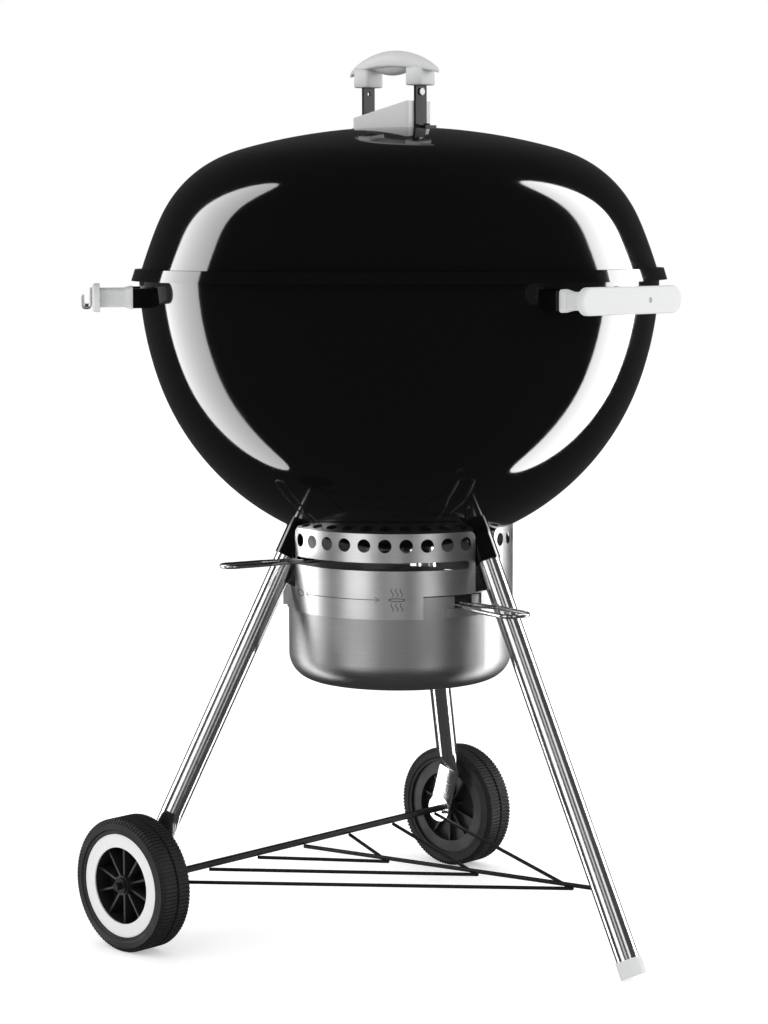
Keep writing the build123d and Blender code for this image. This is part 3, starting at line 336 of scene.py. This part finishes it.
def makeTyre(side):
    low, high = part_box(side + "_wheel_tyre")
    middle = (low + high) / 2
    outer = (high.z - low.z) / 2
    half = (high.y - low.y) / 2
    look = tyreLook
    inner = (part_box(side + "_wheel_hub")[1].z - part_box(side + "_wheel_hub")[0].z) / 2
    inner += 0.1 * millimetre
    step = look["sidewallStep"]
    # across the tyre: (place along the axle, radius, which row's lugs cut it)
    section = [
        (-half + step, inner, None), (-half + step, inner + 3 * step, None),
        (-half, inner + 4 * step, None),
        (-half, outer - look["shoulder"] - step, None), (-half + step, outer - look["shoulder"], 0),
        (-half + look["shoulder"], outer, 0), (-look["grooveHalf"], outer, 0),
        (-look["grooveHalf"], outer - look["grooveDepth"], None),
        (look["grooveHalf"], outer - look["grooveDepth"], None),
        (look["grooveHalf"], outer, 1), (half - look["shoulder"], outer, 1),
        (half - step, outer - look["shoulder"], 1),
        (half, outer - look["shoulder"] - step, None), (half, inner + 4 * step, None),
        (half - step, inner + 3 * step, None), (half - step, inner, None),
    ]
    pitch = 2 * math.pi / look["lugs"]
    share = look["lugShare"]
    # eight stations in each pitch, so that the two rows can stand half a pitch apart
    cuts = sorted([0.0, share, 0.5, (0.5 + share) % 1.0])
    stations = []
    for lug in range(look["lugs"]):
        for cut in cuts:
            for nudge in (-0.02, 0.02):
                stations.append((lug + cut + nudge) * pitch)
    points, faces = [], []
    for angle in stations:
        phase = (angle / pitch) % 1.0
        for place, radius, row in section:
            if row is not None:
                shifted = (phase + 0.5 * row) % 1.0
                if shifted > share:
                    radius -= look["lugDepth"]
            points.append((middle.x + radius * math.cos(angle), middle.y + place,
                middle.z + radius * math.sin(angle)))
    count = len(section)
    total = len(stations)
    for turn in range(total):
        after = (turn + 1) % total
        for at in range(count):
            following = (at + 1) % count
            faces.append((turn * count + at, after * count + at, after * count + following,
                turn * count + following))
    tyre = addMesh(side + "_tyre_with_lugs", points, faces, tyreRubber, side + "_wheel")
    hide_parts(side + "_wheel_tyre")
    return tyre


for side in ("front", "rear"):
    makeTyre(side)
print("tyres made")

# enamel coats: the kettle's glossy skin, with its curvature eased where one arc meets the next

coatLook = {
    "easing": 42 * millimetre,      # the length over which the curvature changes
    "proud": 0.8 * millimetre,      # of the steel, so that the eased curve stays outside it
    "thick": 0.6 * millimetre,
    "step": 2.0 * millimetre,
    "turns": 288,
    "lidArcs": ((0.6516, 16.2), (0.1336, 67.7), (0.707, 72.2)),    # radius, and the slope it ends at
    "lidFoot": (0.2875, 0.7558),    # distance from the axis and height of the dome's lower edge
    "bowlArcs": ((0.2855, 71.1), (0.378, 90.0)),
    "bowlRim": (0.2905, 0.7546),
}


def easedProfile(arcs, startHeight, end):
    # (distance from the axis, height) along the arcs, with the curvature averaged over the easing length
    lengths, previous = [], 0.0
    for radius, slope in arcs:
        lengths.append((radius, radius * math.radians(slope - previous)))
        previous = slope
    total = sum(length for radius, length in lengths)
    step = total / round(total / coatLook["step"])

    def curvature(at):
        for radius, length in lengths:
            if at < length:
                return 1 / radius
            at -= length
        return 1 / lengths[-1][0]

    samples = 14
    out, rise, slope = 0.0, 0.0, 0.0
    walk = [(0.0, 0.0)]
    for index in range(round(total / step)):
        middle = (index + 0.5) * step
        reach = min(coatLook["easing"], 2 * middle, 2 * (total - middle))
        bend = sum(curvature(middle + reach * ((k + 0.5) / samples - 0.5)) for k in range(samples)) / samples
        out += step * math.cos(slope + bend * step / 2)
        rise += step * math.sin(slope + bend * step / 2)
        slope += bend * step
        walk.append((out, rise))
    scaleOut = end[0] / walk[-1][0]
    scaleRise = (end[1] - startHeight) / walk[-1][1]
    return [(out * scaleOut, startHeight + rise * scaleRise) for out, rise in walk]


def makeCoat(name, profile, facing, body, keep):
    # a thin closed shell turned about the kettle's axis, left out where keep says no; facing is 1 for a dome, -1 for a bowl
    turns = coatLook["turns"]
    rows = len(profile)
    points = []
    for sink in (-coatLook["proud"], coatLook["thick"] - coatLook["proud"]):
        for at, (radius, height) in enumerate(profile):
            before = profile[max(at - 1, 0)]
            after = profile[min(at + 1, rows - 1)]
            run, rise = after[0] - before[0], after[1] - before[1]
            length = math.hypot(run, rise)
            r = radius + facing * rise / length * sink
            z = height - facing * run / length * sink
            for turn in range(turns):
                angle = 2 * math.pi * turn / turns
                points.append((r * math.cos(angle), r * math.sin(angle), z))
    shift = rows * turns
    work = bmesh.new()
    verts = [work.verts.new(point) for point in points]
    loose = {}
    for at in range(rows - 1):
        for turn in range(turns):
            after = (turn + 1) % turns
            corners = (at * turns + turn, at * turns + after, (at + 1) * turns + after,
                (at + 1) * turns + turn)
            centre = sum((verts[c].co for c in corners), Vector()) / 4
            if not keep(centre):
                continue
            work.faces.new([verts[c] for c in corners])
            work.faces.new([verts[c + shift] for c in reversed(corners)])
            for edge in zip(corners, corners[1:] + corners[:1]):
                if edge[::-1] in loose:
                    del loose[edge[::-1]]
                else:
                    loose[edge] = True
    for first, second in loose:
        work.faces.new([verts[second], verts[first], verts[first + shift], verts[second + shift]])
    bmesh.ops.delete(work, geom=[v for v in work.verts if not v.link_faces], context="VERTS")
    bmesh.ops.remove_doubles(work, verts=work.verts, dist=1e-6)
    bmesh.ops.recalc_face_normals(work, faces=work.faces)
    coat = addMesh(name, [], [], blackEnamel, body)
    for face in work.faces:
        face.smooth = True
    for edge in work.edges:
        edge.smooth = edge.calc_face_angle(0) < 0.6
    work.to_mesh(coat.data)
    work.free()
    return coat


def makeCoats():
    look = coatLook
    damperLow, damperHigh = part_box("lid_damper")
    damper = (damperLow + damperHigh) / 2
    damperReach = 1.03 * (damperHigh.x - damperLow.x) / 2
    collarLow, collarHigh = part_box("vent_collar")
    collarReach = (collarHigh.x - collarLow.x) / 2 + millimetre
    lidProfile = easedProfile(look["lidArcs"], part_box("lid")[1].z, look["lidFoot"])
    bowlProfile = easedProfile(look["bowlArcs"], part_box("bowl")[0].z, look["bowlRim"])
    makeCoat("lid_enamel", lidProfile, 1, "lid", lambda p: (p - damper).length > damperReach)
    makeCoat("bowl_enamel", bowlProfile, -1, "kettle", lambda p: math.hypot(p.x, p.y) > collarReach)


makeCoats()
print("enamel coats made")

# lid handle: a thin arch with pointed ends on two bosses, with a ribbed belly under it

gripLook = {
    "length": 0.134,
    "tipDrop": 0.0235,      # the tips' top below the crown
    "tipThickness": 3.5 * millimetre,
    "middleThickness": 18.0 * millimetre,
    "crownDrop": 4.5 * millimetre,
    "pointing": 2.6,        # higher keeps the arch broad further out
    "bossLength": 23.5 * millimetre,
    "bossWidth": 27.5 * millimetre,
    "bellyDepth": 11.0 * millimetre,
    "bellyWidth": 22.0 * millimetre,
    "bossSink": 3.0 * millimetre,
    "ribPitch": 2.6 * millimetre,
    "ribDepth": 0.45 * millimetre,
}


def squared(value, power):
    return math.copysign(abs(value) ** power, value)


def loft(rings, points, faces):
    # joins rings of equally many points, and closes both ends
    first = len(points)
    count = len(rings[0])
    for ring in rings:
        points.extend(ring)
    for at in range(len(rings) - 1):
        for turn in range(count):
            a = first + at * count + turn
            b = first + at * count + (turn + 1) % count
            faces.append((a, b, b + count, a + count))
    faces.append(tuple(first + turn for turn in reversed(range(count))))
    last = first + (len(rings) - 1) * count
    faces.append(tuple(last + turn for turn in range(count)))


def makeGrip():
    low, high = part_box("lid_handle_grip")
    middle = (low + high) / 2
    halfWidth = (high.y - low.y) / 2
    look = gripLook
    points, faces = [], []
    turns = [2 * math.pi * step / 36 for step in range(36)]

    def archTop(along):
        return high.z - look["tipDrop"] * along ** 2

    def archThickness(along):
        return look["tipThickness"] + (look["middleThickness"] - look["tipThickness"]) * (1 - along ** 2)

    rings = []
    for step in range(61):
        along = -math.cos(math.pi * step / 60)
        width = max(halfWidth * (1 - abs(along) ** look["pointing"]) ** 0.75, 0.9 * millimetre)
        half = archThickness(along) / 2
        centre = archTop(along) - half
        ring = []
        for turn in turns:
            across = width * squared(math.cos(turn), 0.7)
            drop = look["crownDrop"] * (across / halfWidth) ** 2
            ring.append((middle.x + along * look["length"] / 2, across,
                centre + half * squared(math.sin(turn), 0.7) - drop))
        rings.append(ring)
    loft(rings, points, faces)
    strapMiddles = []
    for strap in ("near_handle_strap", "far_handle_strap"):
        strapLow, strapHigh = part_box(strap)
        inner = strapLow.x if strap == "near_handle_strap" else strapHigh.x
        outward = 1 if strap == "near_handle_strap" else -1
        strapMiddles.append(inner + outward * 1.5 * millimetre)
    for strapX in strapMiddles:
        along = (strapX - middle.x) / (look["length"] / 2)
        top = archTop(along) - archThickness(along) + look["bossSink"]
        rings = []
        for height, grow in ((low.z, 0.93), (low.z + 1.2 * millimetre, 1.0), ((low.z + top) / 2, 1.0),
            (top, 1.0)):
            ring = []
            for turn in turns:
                x = strapX + grow * look["bossLength"] / 2 * squared(math.cos(turn), 0.35)
                y = grow * look["bossWidth"] / 2 * squared(math.sin(turn), 0.35)
                ring.append((x, y, height))
            rings.append(ring)
        loft(rings, points, faces)
    start = min(strapMiddles) + look["bossLength"] / 2
    end = max(strapMiddles) - look["bossLength"] / 2
    rings = []
    steps = int((end - start) / look["ribPitch"] * 6)
    for step in range(steps + 1):
        x = start + (end - start) * step / steps
        along = (x - middle.x) / (look["length"] / 2)
        share = 2 * step / steps - 1
        rib = look["ribDepth"] * (1 if (x / look["ribPitch"]) % 1.0 < 0.5 else 0)
        depth = look["bellyDepth"] * (1 - 0.72 * share ** 2) + rib
        width = look["bellyWidth"] / 2 * (1 - 0.15 * share ** 2) + rib
        base = archTop(along) - archThickness(along) + 2 * millimetre
        ring = []
        for turn in turns:
            ring.append((x, width * math.cos(turn), base + depth * min(math.sin(turn), 0.1)))
        rings.append(ring)
    loft(rings, points, faces)
    grip = addMesh("lid_handle_moulding", points, faces, greyPlastic, "lid", smooth=True)
    for face in grip.data.polygons:
        face.use_smooth = len(face.vertices) == 4
    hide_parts("lid_handle_grip")
    return grip


makeGrip()
print("lid handle made")

# generic marks on the collar: a small oval, an arrow with two heads and a wavy sign

markLook = {
    "stand": 0.25 * millimetre,
    "line": 0.8 * millimetre,
    "height": 0.397,       # of the marks' middle above the floor
    "ovalAngle": -107.0,
    "arrowFrom": -101.5,
    "arrowTo": -57.5,
    "waveAngle": -49.0,
}
collarLow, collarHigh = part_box("vent_collar")
collarRadius = (collarHigh.x - collarLow.x) / 2
markFinish = makeFinish("dark marking",
    {**blackPlasticLook, "base": (0.05, 0.05, 0.05), "streak": (0.08, 0.08, 0.08)})


def onCollar(across, up):
    # across and up are distances on the collar's skin, measured from its front
    angle = across / collarRadius
    radius = collarRadius + markLook["stand"]
    return (radius * math.cos(angle), radius * math.sin(angle), up), (collarRadius * math.cos(angle),
        collarRadius * math.sin(angle), up)


def markLine(path, width, points, faces):
    # a thin raised strip along a path on the collar
    count = len(path)
    first = len(points)
    for at, (across, up) in enumerate(path):
        before = path[max(at - 1, 0)]
        after = path[min(at + 1, count - 1)]
        dx, dy = after[0] - before[0], after[1] - before[1]
        length = math.hypot(dx, dy) or 1.0
        nx, ny = -dy / length * width / 2, dx / length * width / 2
        for sign in (1, -1):
            proud, flush = onCollar(across + sign * nx, up + sign * ny)
            points.extend([proud, flush])
    for at in range(count - 1):
        a = first + 4 * at
        b = a + 4
        faces.extend([(a, b, b + 2, a + 2), (a + 1, b + 1, b, a), (a + 2, b + 2, b + 3, a + 3),
            (a + 3, b + 3, b + 1, a + 1)])
    end = first + 4 * (count - 1)
    faces.extend([(first, first + 2, first + 3, first + 1), (end + 2, end, end + 1, end + 3)])


def makeMarks():
    points, faces = [], []
    look = markLook
    height = look["height"]

    def place(angle):
        return math.radians(angle) * collarRadius

    oval = []
    for step in range(33):
        turn = 2 * math.pi * step / 32
        oval.append((place(look["ovalAngle"]) + 0.0065 * math.cos(turn), height + 0.0035 * math.sin(turn)))
    markLine(oval, look["line"], points, faces)
    arrow = []
    for step in range(25):
        arrow.append((place(look["arrowFrom"] + (look["arrowTo"] - look["arrowFrom"]) * step / 24), height))
    markLine(arrow, look["line"], points, faces)
    for angle, way in ((look["arrowFrom"], 1), (look["arrowTo"], -1)):
        tip = place(angle)
        markLine([(tip + way * 0.005, height + 0.0028), (tip, height),
            (tip + way * 0.005, height - 0.0028)], look["line"], points, faces)
    bar = []
    for step in range(25):
        turn = 2 * math.pi * step / 24
        bar.append((place(look["waveAngle"]) + 0.009 * math.cos(turn), height + 0.0016 * math.sin(turn)))
    markLine(bar, look["line"] * 1.3, points, faces)
    for offset in (-0.005, 0.0, 0.005):
        for foot in (-0.0125, 0.0035):
            wave = []
            for step in range(13):
                up = step / 12
                swing = 0.0013 * math.sin(2 * math.pi * up)
                wave.append((place(look["waveAngle"]) + offset + swing, height + foot + 0.009 * up))
            markLine(wave, look["line"] * 1.2, points, faces)
    return addMesh("collar_marks", points, faces, markFinish, "kettle")


makeMarks()
print("marks made")

# the stage: pale floor, white surroundings, two tall soft strips and gentle fill


floorLook = {
    "reach": 12.0,
    "base": (0.92, 0.92, 0.92),
    "roughness": 0.9,
    "glow": 0.4,    # the floor meets the white surroundings without a horizon
}


def makeFloor():
    mesh = bpy.data.meshes.new("floor")
    reach = floorLook["reach"]
    mesh.from_pydata([(-reach, -reach, 0), (reach, -reach, 0), (reach, reach, 0), (-reach, reach, 0)], [],
        [(0, 1, 2, 3)])
    material = bpy.data.materials.new("pale floor")
    material.use_nodes = True
    shader = material.node_tree.nodes["Principled BSDF"]
    shader.inputs["Base Color"].default_value = (*floorLook["base"], 1)
    shader.inputs["Roughness"].default_value = floorLook["roughness"]
    shader.inputs["Emission Color"].default_value = (1, 1, 1, 1)
    shader.inputs["Emission Strength"].default_value = floorLook["glow"]
    mesh.materials.append(material)
    floor = bpy.data.objects.new("floor", mesh)
    bpy.context.scene.collection.objects.link(floor)
    floor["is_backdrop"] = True
    floor.visible_glossy = False    # the dark underside of the kettle stays dark
    return floor


makeFloor()

cameraLook = {
    "place": (1.9993, -2.1761, 0.7963),
    "forward": (-0.6771, 0.7281, -0.1064),
    "lens": 92.03,
    "roll": 0.18,
}


def makeCamera():
    data = bpy.data.cameras.new("camera")
    data.lens = cameraLook["lens"]
    data.sensor_width = 36
    camera = bpy.data.objects.new("camera", data)
    bpy.context.scene.collection.objects.link(camera)
    facing = Vector(cameraLook["forward"]).to_track_quat("-Z", "Y").to_matrix().to_4x4()
    roll = Matrix.Rotation(math.radians(-cameraLook["roll"]), 4, "Z")
    camera.matrix_world = Matrix.Translation(cameraLook["place"]) @ facing @ roll
    bpy.context.scene.camera = camera
    return camera


camera = makeCamera()

lightLook = {
    "aim": (0.0, 0.0, 0.72),
    "stripDistance": 1.75,
    "leftTurn": -103.5,     # round the kettle from the camera's side, in degrees
    "rightTurn": 107.0,
    "leftRadiance": 10.5,
    "rightRadiance": 19.0,
    "stripWidth": 0.82,
    "stripHeight": 5.3,
    "metalRadiance": 3.2,   # the same strips as the metal and plastic see them
    "metalPanels": [("front left panel", -42, 1.1, 1.5), ("front right panel", 28, 0.7, 1.0),
        ("front panel", -5, 0.5, 0.6)],
    "metalPanelDistance": 2.2,
    "metalPanelHeight": 0.9,
    "metalPanelTall": 2.6,
    # name, turn, height
    "fills": [("left fill", -70, 1.6), ("right fill", 75, 1.6), ("back fill", 180, 2.0)],
    "fillDistance": 2.4,
    "fillSide": 1.6,
    "fillRadiance": 1.1,
    "surroundGlossy": 0.07,
    "surroundDiffuse": 1.05,
}
enamelPieces = bpy.data.collections.new("enamel pieces")
otherPieces = bpy.data.collections.new("other pieces")
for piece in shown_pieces():
    glossy = piece.data.materials and piece.data.materials[0] == blackEnamel
    (enamelPieces if glossy else otherPieces).objects.link(piece)


def addPanel(name, turn, distance, height, width, tall, radiance, shape="RECTANGLE"):
    aim = Vector(lightLook["aim"])
    back = Vector((cameraLook["place"][0], cameraLook["place"][1], 0)).normalized()
    away = Matrix.Rotation(math.radians(turn), 3, "Z") @ back
    data = bpy.data.lights.new(name, "AREA")
    data.shape = shape
    data.size = width
    data.size_y = tall
    data.energy = radiance * math.pi * width * tall
    light = bpy.data.objects.new(name, data)
    bpy.context.scene.collection.objects.link(light)
    place = Vector((aim.x, aim.y, height)) + away * distance
    light.matrix_world = Matrix.Translation(place) @ (aim - place).to_track_quat("-Z",
        "Y").to_matrix().to_4x4()
    light.visible_camera = False
    return light


def makeLights():
    look = lightLook
    for name, turn, radiance in (("left strip", look["leftTurn"], look["leftRadiance"]),
        ("right strip", look["rightTurn"], look["rightRadiance"])):
        for seenBy, strength in ((enamelPieces, radiance), (otherPieces, look["metalRadiance"])):
            strip = addPanel(name, turn, look["stripDistance"], look["aim"][2], look["stripWidth"],
                look["stripHeight"], strength, "ELLIPSE")
            strip.visible_diffuse = False
            strip.light_linking.receiver_collection = seenBy
    # broad panels that only the metal and plastic pieces mirror
    for name, turn, width, strength in look["metalPanels"]:
        panel = addPanel(name, turn, look["metalPanelDistance"], look["metalPanelHeight"], width,
            look["metalPanelTall"], strength)
        panel.visible_diffuse = False
        panel.light_linking.receiver_collection = otherPieces
    for name, turn, height in look["fills"]:
        fill = addPanel(name, turn, look["fillDistance"], height, look["fillSide"], look["fillSide"],
            look["fillRadiance"])
        fill.visible_glossy = False
    world = bpy.data.worlds.new("surround")
    bpy.context.scene.world = world
    world.use_nodes = True
    tree = world.node_tree
    tree.nodes.clear()
    path = addNode(tree, "ShaderNodeLightPath")
    mix = addNode(tree, "ShaderNodeMixShader")
    mixGlossy = addNode(tree, "ShaderNodeMixShader")
    seen = addNode(tree, "ShaderNodeBackground")
    glossy = addNode(tree, "ShaderNodeBackground")
    diffuse = addNode(tree, "ShaderNodeBackground")
    output = addNode(tree, "ShaderNodeOutputWorld")
    seen.inputs["Strength"].default_value = 1.0
    seen.inputs["Color"].default_value = (1, 1, 1, 1)
    glossy.inputs["Strength"].default_value = look["surroundGlossy"]
    diffuse.inputs["Strength"].default_value = look["surroundDiffuse"]
    link = tree.links.new
    link(path.outputs["Is Glossy Ray"], mixGlossy.inputs[0])
    link(diffuse.outputs[0], mixGlossy.inputs[1])
    link(glossy.outputs[0], mixGlossy.inputs[2])
    link(path.outputs["Is Camera Ray"], mix.inputs[0])
    link(mixGlossy.outputs[0], mix.inputs[1])
    link(seen.outputs[0], mix.inputs[2])
    link(mix.outputs[0], output.inputs["Surface"])


makeLights()
bpy.context.scene.view_settings.view_transform = "Standard"
print("stage lit")
